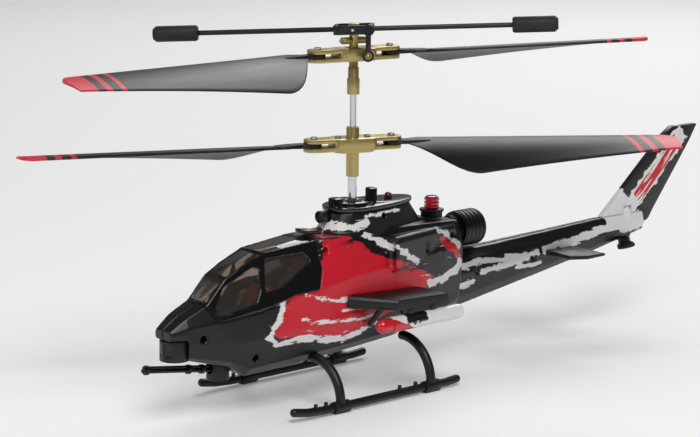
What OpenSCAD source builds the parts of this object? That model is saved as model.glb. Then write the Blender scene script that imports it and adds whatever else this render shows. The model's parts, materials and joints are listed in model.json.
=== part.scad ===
// Toy remote control helicopter: two rotors on one mast, turning opposite ways.
// Millimetres. +X is forward, +Y is the port side, +Z is up.
// The origin is on the mast axis, a little above the ground that the feet stand on.

/* [Fuselage] */
// Thickness of the moulded shells
wall = 1.2; // [1:0.1:1.4]
// Gap between moulded parts that meet
seam = 0.1; // [0.05:0.05:0.2]
// Thickness of the canopy glazing
glazing_t = 0.8; // [0.5:0.1:1]

/* [Rotor blades] */
// Distance from the mast axis to a blade tip
rotor_r = 119.6; // [110:0.2:121]
// Distance from the mast axis to a blade's pivot screw
blade_pivot = 14.8; // [14.6:0.1:15.2]
// Chord ahead of the blade's own axis
chord_front = 5; // [4:0.1:5.5]
// Widest chord behind the blade's own axis
chord_back = 24.6; // [18:0.2:26]
// Chord behind the blade's axis at the tip
tip_back = 11; // [8:0.1:12]
// Pitch of the blades, leading edge up
blade_pitch = 13.5; // [10:0.5:16]
// Thickness of a blade
blade_t = 1.2; // [1:0.1:1.5]

/* [Rotor heads] */
// Height of the lower blade roots
lower_z = 87.1; // [86.5:0.1:88]
// Direction of the lower hub, seen from above
lower_az = 160; // [0:1:359]
// Height of the upper blade roots
upper_z = 119.2; // [119:0.1:119.5]
// Direction of the upper yoke, seen from above
upper_az = 169; // [169:1:169]
// Height of the flybar pivot
flybar_z = 128; // [127.8:0.1:128.4]
// Direction of the flybar, seen from above
flybar_az = 132.3; // [132:0.1:133]
// Tilt of the flybar at rest
flybar_tilt = 2.8; // [0:0.1:3]
// Length of the flybar from the mast axis to one end
flybar_r = 71.9; // [60:0.1:75]

/* [Mast and gears] */
// Radius of the inner mast shaft
shaft_r = 1.2; // [1.2:0.1:1.2]
// Radius of the outer mast tube
tube_r = 1.6; // [1.6:0.1:1.6]
// Gear module
gear_module = 0.5; // [0.5:0.1:0.5]
// Teeth on each main gear
gear_teeth = 46; // [46:2:46]
// Teeth on each motor pinion
pinion_teeth = 10; // [10:1:10]

/* [Landing gear] */
// Height of the ground under the feet, from the origin
ground_z = -1.7; // [-2:0.1:0]
// Distance from the centre line to each skid
skid_y = 25.5; // [25:0.1:26]
// Radius of the skid tubes
skid_r = 1.5; // [1.2:0.1:1.6]
// Front end of the level part of the skids
skid_front = 35; // [33:0.5:38]
// Rear end of the level part of the skids
skid_rear = -24; // [-26:0.5:-22]

/* [Hidden] */
$fn = 48;
eps = 0.01;

// Running clearances, on the radius
run_gap = 0.06;
fit_gap = 0.02;

// Cross-sections of the fuselage from nose to tail. Each has its place along X, five points
// down from the keel edge to the roof edge as [half width, height], and how far the
// inner skin's section moves along X so that the steps keep their wall.
LINES = [
    [85.0, [[3.0, 28.3], [3.9, 28.6], [4.5, 29.4], [4.4, 30.9], [3.8, 31.9]], 0],
    [78.9, [[4.8, 28.1], [6.2, 28.4], [6.9, 29.4], [6.6, 32.6], [4.9, 35.8]], 0],
    [78.7, [[4.9, 21.2], [6.6, 22.6], [7.2, 27.0], [6.6, 32.7], [4.9, 35.9]], -5.4],
    [70.1, [[6.0, 18.8], [8.0, 20.8], [9.0, 26.5], [8.6, 33.4], [5.5, 39.6]], 0],
    [62.8, [[7.2, 17.0], [9.6, 19.0], [10.8, 25.5], [9.9, 34.5], [5.6, 47.2]], 0],
    [56.0, [[8.0, 12.6], [10.7, 15.8], [12.0, 25.5], [10.8, 36.0], [5.9, 50.6]], 0],
    [45.8, [[8.8, 13.1], [11.6, 16.4], [12.9, 26.0], [11.5, 37.0], [6.5, 54.4]], 0],
    [24.0, [[9.6, 14.2], [12.6, 17.6], [14.0, 28.0], [12.9, 40.0], [8.0, 56.2]], 0],
    [8.0, [[9.5, 15.2], [12.7, 18.4], [14.2, 29.0], [13.5, 42.5], [9.2, 56.4]], 0],
    [-10.0, [[9.0, 16.2], [12.2, 19.4], [13.8, 30.0], [13.4, 43.5], [9.4, 56.3]], 0],
    [-24.0, [[7.8, 17.2], [11.0, 20.8], [12.6, 31.0], [12.8, 44.5], [9.2, 56.0]], 0],
    [-36.0, [[6.2, 18.6], [9.0, 22.6], [10.6, 32.0], [11.4, 45.0], [8.2, 55.4]], 0],
    [-47.0, [[4.8, 20.4], [7.4, 24.8], [8.8, 33.0], [9.6, 45.0], [6.4, 54.4]], 1.2],
    [-47.6, [[4.2, 20.6], [6.8, 25.2], [7.6, 33.5], [6.4, 38.4], [2.8, 41.4]], 1.2],
    [-72.0, [[3.4, 23.8], [5.4, 27.6], [6.2, 34.0], [5.0, 38.8], [2.4, 41.8]], 0],
    [-100.0, [[2.8, 27.6], [4.4, 30.4], [4.9, 35.2], [4.0, 39.2], [2.0, 42.7]], 0],
    [-128.0, [[2.2, 31.6], [3.3, 33.6], [3.7, 37.0], [3.1, 40.2], [1.8, 43.7]], 0],
    [-156.5, [[1.4, 36.4], [2.0, 37.4], [2.4, 39.4], [2.2, 41.4], [1.6, 43.7]], 0]
];
// Which way each of a section's five points moves as the skin gets thicker, as [y, z]
INSET = [[-0.5, 1], [-0.9, 0.5], [-1, 0], [-1, -0.2], [-0.8, -1]];
// First section of the hollow inside
first_inner = 2;

// Side view outline of the canopy
CANOPY = [
    [71.2, 39.4], [67.5, 33.6], [50.0, 35.4], [36.0, 38.8], [25.8, 39.4],
    [23.4, 46.0], [24.0, 58.0], [52.0, 60.0], [72.0, 50.0]
];
// Side windows, as [x, z]
FRONT_PANE = [
    [68.2, 36.4], [63.8, 44.4], [51.6, 50.0], [48.9, 49.0], [49.8, 42.4], [52.4, 38.2], [66.6, 35.3]
];
REAR_PANE = [[48.0, 41.4], [46.2, 52.2], [30.4, 52.6], [27.6, 49.8], [41.4, 42.2]];
// Sloping pane and roof pane seen from above, as [x, y]
SLOPE_PANE = [[61.4, -4.6], [61.4, 4.6], [47.2, 5.5], [47.2, -5.5]];
ROOF_PANE = [[45.6, -5.6], [45.6, 5.6], [26.0, 7.0], [26.0, -7.0]];

// Places of the case screws on the port side, as [x, z]
SCREWS = [
    [73.6, 28.4], [53.5, 19.2], [20.4, 52.2], [-8.0, 61.2],
    [-41.5, 49.6], [-57.3, 33.6], [-89.3, 34.0]
];
screw_boss_r = 1.9;
screw_head_r = 1.2;
screw_shank_r = 0.8;
screw_head_y = 2.6;

// Legs: place along X and height of the top of the front and rear pair
front_leg = [27.1, 15.2];
rear_leg = [-16.2, 16.2];
leg_r = 1.7;
skid_z = ground_z + 2.1;
leg_low = skid_z + 1.1;
foot_r = 2.1;
foot_l = 7;

// Mast parts along Z
base_plate_z = 20;
upper_gear_z = 24;
lower_gear_z = 31;
gear_t = 3;
motor_plate_z = 35;
plate_t = 1.2;
motor_r = 6;
motor_l = 13;
deck_z = 63.9;
deck_t = 1.4;
disc_t = 1.3;
bush_r = 2.4;

gear_r = gear_module * gear_teeth / 2;
pinion_r = gear_module * pinion_teeth / 2;
motor_x = gear_r + pinion_r;

// Rotor head
slot_h = 1.8;
ear_t = 1.3;
ear_r = 3.7;
tab_t = 1.5;
pivot_screw_r = 0.88;
link_f = 5.69;
link_m = 5.55;
head_turn = upper_az - flybar_az;
ball_s = link_f * cos(head_turn) - link_m * sin(head_turn);
ball_n = link_f * sin(head_turn) + link_m * cos(head_turn);
// Each blade's resting fold about its screw and its rise towards the tip, within its play
lower_fold = [[-16.7, 0.4], [-8, -0.8]];
upper_fold = [[-9.5, 0.8], [7.9, -0.6]];

// Tail
tail_motor_x = -147.5;
tail_motor_r = 1.7;
tail_tube_r = 2.4;
tail_tube_low = 34.4;
tail_tube_round = 44.4;

// ---------- helpers ----------

// Points of one section, moved inwards by t, as a closed ring
function section(s, t) = let (
        port = [for (i = [0:4]) [s[1][i][0] + INSET[i][0] * t, s[1][i][1] + INSET[i][1] * t]],
        x = s[0] + (t > 0 ? s[2] : 0)
    ) concat(
        [[x, 0, port[0][1]]], [for (p = port) [x, p[0], p[1]]],
        [[x, 0, port[4][1] + 0.2]], [for (i = [4:-1:0]) [x, -port[i][0], port[i][1]]]
    );

// Solid through the sections from index first, moved inwards by t
module skin(t, first) {
    n = 12;
    last = len(LINES) - 1;
    end_gap = function (i) (i == last && t > 0) ? t : 0;
    rings = [for (i = [first:last]) [for (p = section(LINES[i], t)) [p[0] + end_gap(i), p[1], p[2]]]];
    m = len(rings);
    points = [for (r = rings) each r];
    sides = [for (i = [0:m - 2]) for (j = [0:n - 1]) let (
            a = i * n + j, b = i * n + (j + 1) % n, c = a + n, d = b + n
        ) each [[a, b, c], [b, d, c]]];
    front = [for (j = [1:n - 2]) [0, j + 1, j]];
    back = [for (j = [1:n - 2]) [(m - 1) * n, (m - 1) * n + j, (m - 1) * n + j + 1]];
    polyhedron(points, concat(front, sides, back));
}

// Egg-shaped outline: front and rear reach along X, and half width
function egg(front, rear, half_w, steps = 32) = [for (i = [0:steps - 1]) let (a = 360 * i / steps)
    [cos(a) * (cos(a) > 0 ? front : rear), sin(a) * half_w]];

// Rectangle with cut corners
function cut_rect(l, w, c) = [
    [l / 2 - c, -w / 2], [l / 2, -w / 2 + c], [l / 2, w / 2 - c], [l / 2 - c, w / 2],
    [-l / 2 + c, w / 2], [-l / 2, w / 2 - c], [-l / 2, -w / 2 + c], [-l / 2 + c, -w / 2]
];

// Cylinders along X and Y, from one place to another
module rod_x(x1, x2, r) { translate([x1, 0, 0]) rotate([0, 90, 0]) cylinder(h = x2 - x1, r = r); }
module rod_y(y1, y2, r) { translate([0, y1, 0]) rotate([-90, 0, 0]) cylinder(h = y2 - y1, r = r); }

// Bar along Y between two heights of a side view outline
module side_prism(outline, half_w) {
    translate([0, half_w, 0]) rotate([90, 0, 0]) linear_extrude(2 * half_w) polygon(outline);
}

// Spur gear outline with involute flanks
function involute(a) = tan(a) * 180 / PI - a;
function flank(r, base_r, teeth) =
    90 / teeth - 0.7 / teeth + involute(20) - involute(acos(min(1, base_r / r)));
function gear_outline(teeth) = let (
        pr = gear_module * teeth / 2, br = pr * cos(20),
        tip = pr + 0.8 * gear_module, root = pr - 1.1 * gear_module,
        radii = [for (k = [0:3]) max(br, root) + (tip - max(br, root)) * k / 3],
        foot = flank(max(br, root), br, teeth)
    ) [for (i = [0:teeth - 1]) let (a = 360 * i / teeth) each concat(
        [[root * cos(a - foot), root * sin(a - foot)]],
        [for (r = radii) let (f = flank(r, br, teeth)) [r * cos(a - f), r * sin(a - f)]],
        [for (k = [3:-1:0]) let (r = radii[k], f = flank(r, br, teeth)) [r * cos(a + f), r * sin(a + f)]],
        [[root * cos(a + foot), root * sin(a + foot)]]
    )];

module at_lower_hub() { translate([0, 0, lower_z]) rotate([0, 0, lower_az]) children(); }
module at_yoke() { translate([0, 0, upper_z]) rotate([0, 0, upper_az]) children(); }
// Along the flybar: X along its rod, and -Y towards the link
module at_flybar_level() { translate([0, 0, flybar_z]) rotate([0, 0, flybar_az]) children(); }
module at_flybar() { at_flybar_level() rotate([0, -flybar_tilt, 0]) children(); }

// ---------- fuselage ----------

module pylon(t) {
    top = t > 0 ? deck_z + 1 : deck_z - seam;
    hull() {
        translate([0, 0, 52]) linear_extrude(0.5) polygon(egg(17.5 - t, 35 - t, 10.4 - t));
        translate([0, 0, top - 0.5]) linear_extrude(0.5) polygon(egg(10.6 - t, 26.6 - t, 8.5 - t));
    }
}

module engine_cowl(side, t) {
    low = 44.2;
    high = 51.8;
    round_r = 2.6 - t / 2;
    hull() {
        for (z = [low + t / 2, high - t / 2]) {
            translate([-8 - t, side * (13.6 - t), z]) rod_x(0, 0.5, round_r, $fn = 20);
            translate([-44, side * (6.6 - t / 2), z]) rod_x(0, 0.5, round_r - 0.6, $fn = 20);
        }
        translate([-44, side * 4 - 1, low]) cube([36, 2, high - low]);
    }
}

module outer_body() {
    skin(0, 0);
    translate([tail_motor_x, 0, tail_tube_low])
        cylinder(h = tail_tube_round - tail_tube_low, r = tail_tube_r);
    translate([tail_motor_x, 0, tail_tube_round]) sphere(r = tail_tube_r);
    pylon(0);
    engine_cowl(1, 0);
    engine_cowl(-1, 0);
}

module inner_body() {
    skin(wall, first_inner);
    pylon(wall);
    engine_cowl(1, wall);
    engine_cowl(-1, wall);
}

// Openings through both halves: legs, wing pegs, tailplane rod, belly and tail parts
module body_openings() {
    for (leg = [front_leg, rear_leg])
        translate([leg[0], 0, leg[1]]) {
            rod_y(7, 18, leg_r + seam);
            rod_y(-18, -7, leg_r + seam);
        }
    translate([-4, 0, 33]) rod_y(-20, 20, 1.5 + seam);
    translate([-104, 0, 35.2]) rod_y(-9, 9, 0.9 + seam);
    translate([chin_x, 0, 8]) cylinder(h = 11, r = chin_r + seam);
    translate([nose_x, 0, 16]) cylinder(h = 12.1, r = nose_r + 0.3);
    translate([-30, 0, 12]) cylinder(h = 12, r = 2.6 + seam);
    translate([9.4, -1.5, 12]) cube([8.2, 3, 8]);
    translate([tail_motor_x, 0, 30]) cylinder(h = 15.2, r = tail_motor_r + seam);
    translate([-50, 0, 49.4]) rod_x(0, 8, 3 + seam);
}

// Slots and dimples that only mark the outside
module body_marks(side) {
    translate([-8.2, side * 13.6, 0]) translate([0, -1.3, 43.4]) cube([3, 2.6, 9.2]);
    translate([-26, side * 12.3, 0]) translate([-1, -0.6, 46]) cube([2, 4, 4.4]);
}

module half_body(side) {
    difference() {
        union() {
            difference() {
                outer_body();
                inner_body();
            }
            intersection() {
                outer_body();
                for (p = SCREWS) translate([p[0], 0, p[1]]) rod_y(-16, 16, screw_boss_r, $fn = 20);
            }
        }
        body_openings();
        body_marks(side);
        side_prism(CANOPY, 20);
        for (p = SCREWS)
            translate([p[0], 0, p[1]]) {
                rod_y(-6, 20, screw_shank_r + fit_gap, $fn = 20);
                rod_y(screw_head_y, 20, screw_head_r + fit_gap, $fn = 20);
            }
        translate([-200, side > 0 ? -40 : -seam / 2, -10]) cube([400, 40 + seam / 2, 120]);
    }
}

module fuselage_port() { color([0.13, 0.13, 0.14]) half_body(1); }
module fuselage_starboard() { color([0.13, 0.13, 0.14]) half_body(-1); }

module case_screws() {
    color("silver")
        for (p = SCREWS)
            translate([p[0], 0, p[1]]) {
                rod_y(-5, screw_head_y + eps, screw_shank_r);
                rod_y(screw_head_y + eps, screw_head_y + 1, screw_head_r);
            }
}

// ---------- canopy ----------

module canopy_frame() {
    color([0.1, 0.1, 0.11]) difference() {
        intersection() {
            skin(0, 0);
            side_prism(CANOPY, 20);
        }
        skin(wall, first_inner);
        side_prism(FRONT_PANE, 20);
        side_prism(REAR_PANE, 20);
        translate([60, -4.3, 39.8]) cube([20, 8.6, 5.8]);
        translate([64.2, -4.3, 44]) cube([4.4, 8.6, 8]);
        translate([0, 0, 44]) linear_extrude(16) polygon(SLOPE_PANE);
        translate([0, 0, 50]) linear_extrude(12) polygon(ROOF_PANE);
    }
}

module canopy_glass() {
    color([0.35, 0.33, 0.32, 0.5]) difference() {
        intersection() {
            skin(wall + 0.1, first_inner);
            side_prism(CANOPY, 20);
        }
        skin(wall + 0.1 + glazing_t, first_inner);
    }
}

module cockpit_floor() {
    color([0.12, 0.11, 0.1]) translate([0, 0, 32]) linear_extrude(1)
        polygon([[66, -5.5], [66, 5.5], [50, 8], [26, 9.5], [26, -9.5], [50, -8]]);
}

module roof_scoop() {
    color([0.1, 0.1, 0.1]) translate([21.4, 0, 57.3]) rotate([0, -8, 0])
        linear_extrude(1.2)
            polygon([[-3.2, -4], [2.6, -3.4], [3.6, -1.6], [3.6, 1.6], [2.6, 3.4], [-3.2, 4]]);
}

// ---------- rotor deck and roof parts ----------

module rotor_deck() {
    color([0.12, 0.12, 0.13]) difference() {
        union() {
            translate([0, 0, deck_z]) linear_extrude(deck_t) polygon(egg(11.8, 28, 9.2, 48));
            translate([1, 0, deck_z + deck_t]) cylinder(h = disc_t, r = 7);
            translate([-8.8, 0.5, deck_z]) linear_extrude(6.2) polygon(cut_rect(3.4, 4.2, 0.8));
            translate([7.8, 0, deck_z]) linear_extrude(4.2) polygon(cut_rect(4.4, 5, 1));
            translate([7, 0, deck_z - 3]) cylinder(h = 3.2, r = 1.4);
            translate([-19, 0, deck_z - 3]) cylinder(h = 3.2, r = 1.4);
        }
        translate([0, 0, deck_z - 5]) cylinder(h = 12, r = bush_r + fit_gap);
    }
}

module status_lamp() {
    color([0.35, 0.02, 0.06]) translate([-17.6, 0, deck_z + deck_t + eps]) {
        cylinder(h = 0.7, r = 1.5);
        intersection() {
            translate([0, 0, 0.7]) sphere(r = 1.5);
            cylinder(h = 4, r = 2);
        }
    }
}

module front_lamp() {
    color([0.12, 0.12, 0.12]) translate([0, 0, 62.2]) difference() {
        rod_x(13.2, 15.8, 2.2);
        rod_x(14.8, 17, 1.7);
    }
}

module beacon_base() {
    color([0.1, 0.1, 0.1]) translate([-39.6, 0, 55.75]) {
        linear_extrude(2.2) polygon(cut_rect(7.2, 7.6, 1.8));
        translate([0, 0, 2.2]) linear_extrude(0.8) polygon(cut_rect(8.2, 8.6, 2));
    }
}

module beacon_lens() {
    color([0.9, 0.05, 0.15]) translate([-39.6, 0, 58.8]) {
        cylinder(h = 4.6, r = 2.3);
        for (k = [0:2]) translate([0, 0, 0.4 + 1.4 * k]) cylinder(h = 0.8, r = 2.8);
    }
}

module exhaust_nozzle() {
    color([0.09, 0.09, 0.09]) translate([0, 0, 49.4]) difference() {
        union() {
            rod_x(-48, -45, 3);
            rod_x(-51.5, -48, 4.8);
            for (k = [0:2]) rod_x(-49 - k, -48.5 - k, 5.4);
            rod_x(-62, -51.5, 6.6);
            for (k = [0:4]) rod_x(-53.3 - 2 * k, -52.6 - 2 * k, 6.8);
        }
        rod_x(-63, -55, 5.6);
    }
}

// ---------- nose and guns ----------

nose_x = 80;
nose_r = 5.2;
module nose_turret() {
    color([0.12, 0.12, 0.12]) difference() {
        translate([nose_x, 0, 20.9]) cylinder(h = 7.1, r = nose_r);
        for (a = [-26, 26])
            translate([nose_x, 0, 22.8]) rotate([0, 0, a]) translate([4.2, -1.7, 0]) cube([3, 3.4, 4]);
    }
}

module nose_windows() {
    color([0.02, 0.02, 0.03])
        for (a = [-26, 26])
            translate([nose_x, 0, 22.85]) rotate([0, 0, a]) translate([4.22, -1.65, 0]) cube([0.5, 3.3, 3.9]);
}

chin_x = 61.4;
chin_r = 4;
gun_tilt = 8.5;
module chin_turret() {
    color([0.1, 0.1, 0.1]) difference() {
        translate([chin_x, 0, 10.9]) cylinder(h = 6.6, r = chin_r);
        translate([chin_x, 0, 14.6]) rotate([0, -gun_tilt, 0]) rod_x(-3, 6, 1.8);
    }
}

module gun_barrel() {
    color([0.08, 0.08, 0.08]) translate([chin_x, 0, 14.6]) rotate([0, -gun_tilt, 0]) {
        for (a = [90, 210, 330]) rotate([a, 0, 0]) translate([0, 0.75, 0]) rod_x(-2, 32.2, 0.62);
        for (x = [-1, 6.6, 12.4, 30.4]) rod_x(x, x + 1.2, 1.65);
    }
}

// ---------- wings, canisters and tail ----------

module stub_wing(side) {
    mirror([0, side > 0 ? 0 : 1, 0]) {
        hull() {
            translate([12.2, 14.35, 33.6]) rod_y(0, 0.5, 2.5, $fn = 32);
            translate([-19, 14.35, 33.4]) rod_y(0, 0.5, 1.3, $fn = 32);
            translate([0.6, 25.6, 32.9]) rod_y(0, 1.6, 2, $fn = 32);
            translate([-21.6, 25.6, 32.8]) rod_y(0, 1.6, 1.2, $fn = 32);
        }
        translate([-4, 0, 33]) rod_y(12.9, 15, 1.5);
        translate([-22.8, 25.6, 29.6]) cube([22.4, 1.6, 3.4]);
        for (x = [-5.6, -16.4]) translate([x, 25.3, 29.15]) cube([2.6, 2.2, 1.6]);
        translate([4, 14.6, 24]) rotate([-41, 0, 0]) cylinder(h = 11.6, r = 1.1);
    }
}
module stub_wing_port() { color([0.1, 0.1, 0.1]) stub_wing(1); }
module stub_wing_starboard() { color([0.1, 0.1, 0.1]) stub_wing(-1); }

module canister(side) {
    r = 2.8;
    translate([0, side * 26.4, 26.3]) {
        rod_x(-27.6, 5, r);
        rod_x(5 - eps, 8.6, 2.5);
        translate([8.6, 0, 0]) sphere(r = 2.5);
        translate([-27.6, 0, 0]) sphere(r = r);
    }
}
module canister_port() { color("white") canister(1); }
module canister_starboard() { color("white") canister(-1); }

fin_t = 2.6;
module tail_fin() {
    color([0.15, 0.15, 0.16]) difference() {
        side_prism([
            [-132.5, 44.0], [-168.5, 73.7], [-173.6, 76.6], [-188.6, 76.4], [-183.9, 69.5],
            [-163.3, 44.3], [-160.6, 40.6], [-157.0, 38.2], [-156.6, 44.0]
        ], fin_t / 2);
        translate([tail_motor_x, 0, 30]) cylinder(h = 17, r = tail_tube_r + seam);
    }
}

module tailplane() {
    color([0.12, 0.12, 0.12]) {
        for (s = [0, 1]) mirror([0, s, 0])
            hull() {
                translate([-97.4, 5.05, 35.2]) rod_y(0, 0.3, 1, $fn = 24);
                translate([-111, 5.05, 35.2]) rod_y(0, 0.3, 0.7, $fn = 24);
                translate([-96.6, 17.5, 35.2]) rod_y(0, 0.3, 0.8, $fn = 24);
                translate([-102.5, 21.4, 35.2]) rod_y(0, 0.3, 0.7, $fn = 24);
                translate([-111.6, 21.4, 35.2]) rod_y(0, 0.3, 0.5, $fn = 24);
            }
        translate([-104, 0, 35.2]) rod_y(-6, 6, 0.9);
    }
}

module tail_motor() {
    color("silver") translate([tail_motor_x, 0, 34.6]) difference() {
        cylinder(h = 10.4, r = tail_motor_r);
        translate([0, 0, -1]) cylinder(h = 9, r = 0.4 + run_gap);
    }
}

// One propeller blade seen from above, as [x, y]
PROP_BLADE = [
    [0, -1.4], [3, -3.3], [7.2, -3.7], [8.8, -2.8], [9.6, -0.6],
    [9.5, 1.2], [8.6, 2.8], [7.0, 3.4], [3, 3], [0, 1.4]
];
prop_low = 30.5;
module tail_propeller() {
    color([0.07, 0.07, 0.07]) translate([tail_motor_x, 0, prop_low]) {
        cylinder(h = 11.5, r = 0.4);
        cylinder(h = 3.4, r = 2.3);
        for (a = [50, 230]) rotate([0, 0, a]) translate([1, 0, 1]) rotate([14, 0, 0])
            linear_extrude(0.8) polygon(PROP_BLADE);
    }
}

module tail_wires() {
    color([0.6, 0.1, 0.1])
        for (s = [-1, 1]) translate([0, s * 0.5, 38.4]) rod_x(-144.2, -46, 0.35);
}

// ---------- landing gear ----------

// Centre line of a skid from rear to front, as [x, z], and the places of its four nubs
level_steps = 5;
SKID_LINE = concat(
    [[-29, 0.4]],
    [for (k = [0:level_steps]) [skid_rear + (skid_front - skid_rear) * k / level_steps, 0]],
    [[42.4, 0.5], [48.3, 1.5]]
);
skid_nubs = [-8.6, -0.9, 33.9, 38.6];
module skid(side) {
    translate([0, side * skid_y, skid_z]) {
        for (i = [0:len(SKID_LINE) - 2])
            hull() for (p = [SKID_LINE[i], SKID_LINE[i + 1]])
                translate([p[0], 0, p[1]]) sphere(r = skid_r, $fn = 28);
        for (x = skid_nubs) translate([x, 0, 1]) cylinder(h = 1.7, r = 0.7, $fn = 20);
    }
}
module skid_port() { color([0.06, 0.06, 0.06]) skid(1); }
module skid_starboard() { color([0.06, 0.06, 0.06]) skid(-1); }

module legs(leg) {
    bend = leg[1] - leg_low;
    for (s = [0, 1]) mirror([0, s, 0]) difference() {
        union() {
            translate([leg[0], skid_y - bend, leg_low]) rotate([90, 0, 90])
                rotate_extrude(angle = 90) translate([bend, 0]) circle(r = leg_r);
            translate([leg[0], 0, leg[1]]) rod_y(9.6, skid_y - bend, leg_r);
            translate([leg[0], 0, 0]) translate([0, skid_y, skid_z]) rod_x(-foot_l / 2, foot_l / 2, foot_r);
            translate([leg[0] - foot_l / 2, skid_y - 1.2, ground_z]) cube([foot_l, 2.4, 1]);
            translate([leg[0], skid_y, skid_z]) cylinder(h = leg_low - skid_z + eps, r = leg_r);
        }
        translate([leg[0], skid_y, skid_z]) rod_x(-foot_l, foot_l, skid_r + fit_gap);
    }
}
module front_legs() { color([0.06, 0.06, 0.06]) legs(front_leg); }
module rear_legs() { color([0.06, 0.06, 0.06]) legs(rear_leg); }

// ---------- chassis, motors and gears ----------

module chassis() {
    color([0.2, 0.2, 0.2]) difference() {
        union() {
            translate([-20, -8.4, base_plate_z]) cube([40, 16.8, plate_t]);
            translate([-20.4, -9, motor_plate_z]) cube([40.8, 18, plate_t]);
            for (x = [-18.6, 18.6]) for (y = [-7, 7])
                translate([x, y, base_plate_z]) cylinder(h = motor_plate_z - base_plate_z + eps, r = 1.3);
            for (y = [-4, 4]) translate([0, y, motor_plate_z]) cylinder(h = 24, r = 1);
            translate([0, 0, 58]) cylinder(h = 2.6, r = 5.4);
            for (x = [-motor_x, motor_x]) translate([x, 0, motor_plate_z + plate_t]) difference() {
                cylinder(h = 3, r = motor_r + 1.2);
                translate([0, 0, -1]) cylinder(h = 6, r = motor_r + fit_gap);
            }
        }
        translate([0, 0, base_plate_z - 1]) cylinder(h = plate_t + 2, r = bush_r + fit_gap);
        translate([0, 0, motor_plate_z - 1]) cylinder(h = plate_t + 2, r = bush_r + fit_gap);
        translate([0, 0, 57]) cylinder(h = 5, r = bush_r + fit_gap);
        for (x = [-motor_x, motor_x]) translate([x, 0, motor_plate_z - 1]) cylinder(h = 4, r = 1.2);
    }
}

module bush(z, h, bore) {
    translate([0, 0, z]) difference() {
        cylinder(h = h, r = bush_r);
        translate([0, 0, -1]) cylinder(h = h + 2, r = bore + run_gap);
    }
}
module shaft_bearings() {
    color("gold") {
        bush(base_plate_z - 0.4, 2.2, shaft_r);
        bush(motor_plate_z - 0.3, 1.8, tube_r);
        bush(57.8, 3, tube_r);
        bush(deck_z, deck_t + disc_t + 0.2, tube_r);
    }
}

module main_motors() {
    color("silver")
        for (x = [-motor_x, motor_x]) translate([x, 0, motor_plate_z + plate_t + eps]) difference() {
            cylinder(h = motor_l, r = motor_r);
            translate([0, 0, -1]) cylinder(h = 8, r = 0.5 + run_gap);
        }
}

module pinion(x, z) {
    translate([x, 0, 0]) {
        translate([0, 0, z]) rotate([0, 0, 180 / pinion_teeth + (x > 0 ? 180 : 0)])
            linear_extrude(gear_t) polygon(gear_outline(pinion_teeth));
        translate([0, 0, z - 0.4]) cylinder(h = motor_plate_z + 7 - z, r = 0.5);
    }
}
module front_pinion() { color("gold") pinion(motor_x, lower_gear_z); }
module rear_pinion() { color("gold") pinion(-motor_x, upper_gear_z); }

module drive_gear(z, bore) {
    translate([0, 0, z]) difference() {
        union() {
            linear_extrude(gear_t) polygon(gear_outline(gear_teeth));
            cylinder(h = gear_t + 0.4, r = 3);
        }
        translate([0, 0, -1]) cylinder(h = gear_t + 3, r = bore + fit_gap);
        for (a = [0:60:300]) rotate([0, 0, a]) translate([6.6, 0, -1]) cylinder(h = gear_t + 2, r = 2.2);
    }
}
module lower_drive_gear() { color("ivory") drive_gear(lower_gear_z, tube_r); }
module upper_drive_gear() { color("ivory") drive_gear(upper_gear_z, shaft_r); }

module outer_tube() {
    color("silver") translate([0, 0, 30]) difference() {
        cylinder(h = 61.5, r = tube_r);
        translate([0, 0, -1]) cylinder(h = 64, r = shaft_r + run_gap);
    }
}
module inner_shaft() { color("silver") translate([0, 0, 18.5]) cylinder(h = 99, r = shaft_r); }

// ---------- rotor heads ----------

// Forked ears that hold two blade roots, either side of a slot centred on z = 0
module ears() {
    for (a = [0, 180]) rotate([0, 0, a]) for (z = [-slot_h / 2 - ear_t, slot_h / 2]) translate([0, 0, z]) {
        translate([blade_pivot, 0, 0]) cylinder(h = ear_t, r = ear_r);
        translate([5, -ear_r, 0]) cube([blade_pivot - 5, 2 * ear_r, ear_t]);
    }
}
module ear_holes() {
    for (s = [-1, 1]) translate([s * blade_pivot, 0, -5]) cylinder(h = 10, r = pivot_screw_r + fit_gap);
}
inner_screw_x = 5.6;
module block_screw_holes() {
    for (s = [-1, 1]) translate([s * inner_screw_x, 0, 0]) cylinder(h = 5, r = 0.7 + fit_gap);
}
// Screws of one head: top is the height of the block above the slot's middle
module head_screws(top) {
    for (s = [-1, 1]) {
        translate([s * blade_pivot, 0, -slot_h / 2 - ear_t])
            cylinder(h = slot_h + 2 * ear_t, r = pivot_screw_r);
        translate([s * blade_pivot, 0, slot_h / 2 + ear_t + eps]) cylinder(h = 0.8, r = 1.25);
        translate([s * inner_screw_x, 0, 0.4]) cylinder(h = top - 0.4 + eps, r = 0.7);
        translate([s * inner_screw_x, 0, top + eps]) cylinder(h = 0.7, r = 1.2);
    }
}

block_top = 2.2;
module lower_hub() {
    color([0.77, 0.68, 0.4]) difference() {
        union() {
            at_lower_hub() {
                translate([0, 0, -1.5]) linear_extrude(1.5 + block_top) polygon(cut_rect(16, 10, 1.6));
                translate([0, 0, -2.8]) linear_extrude(1.4) polygon(cut_rect(15, 8.8, 2.2));
                ears();
            }
            translate([0, 0, 75.3]) cylinder(h = 9.5, r = 2.3);
            translate([0, 0, lower_z + block_top - eps]) cylinder(h = 3.8, r = 2.3);
        }
        at_lower_hub() {
            ear_holes();
            block_screw_holes();
            for (a = [0, 180]) rotate([0, 0, a]) translate([8.2, -6, -slot_h / 2]) cube([12, 12, slot_h]);
        }
        translate([0, 0, 75]) cylinder(h = 16.6, r = tube_r + fit_gap);
        translate([0, 0, 90]) cylinder(h = 5, r = shaft_r + 0.15);
    }
}
module lower_hub_screws() { color("silver") at_lower_hub() head_screws(block_top); }

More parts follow.
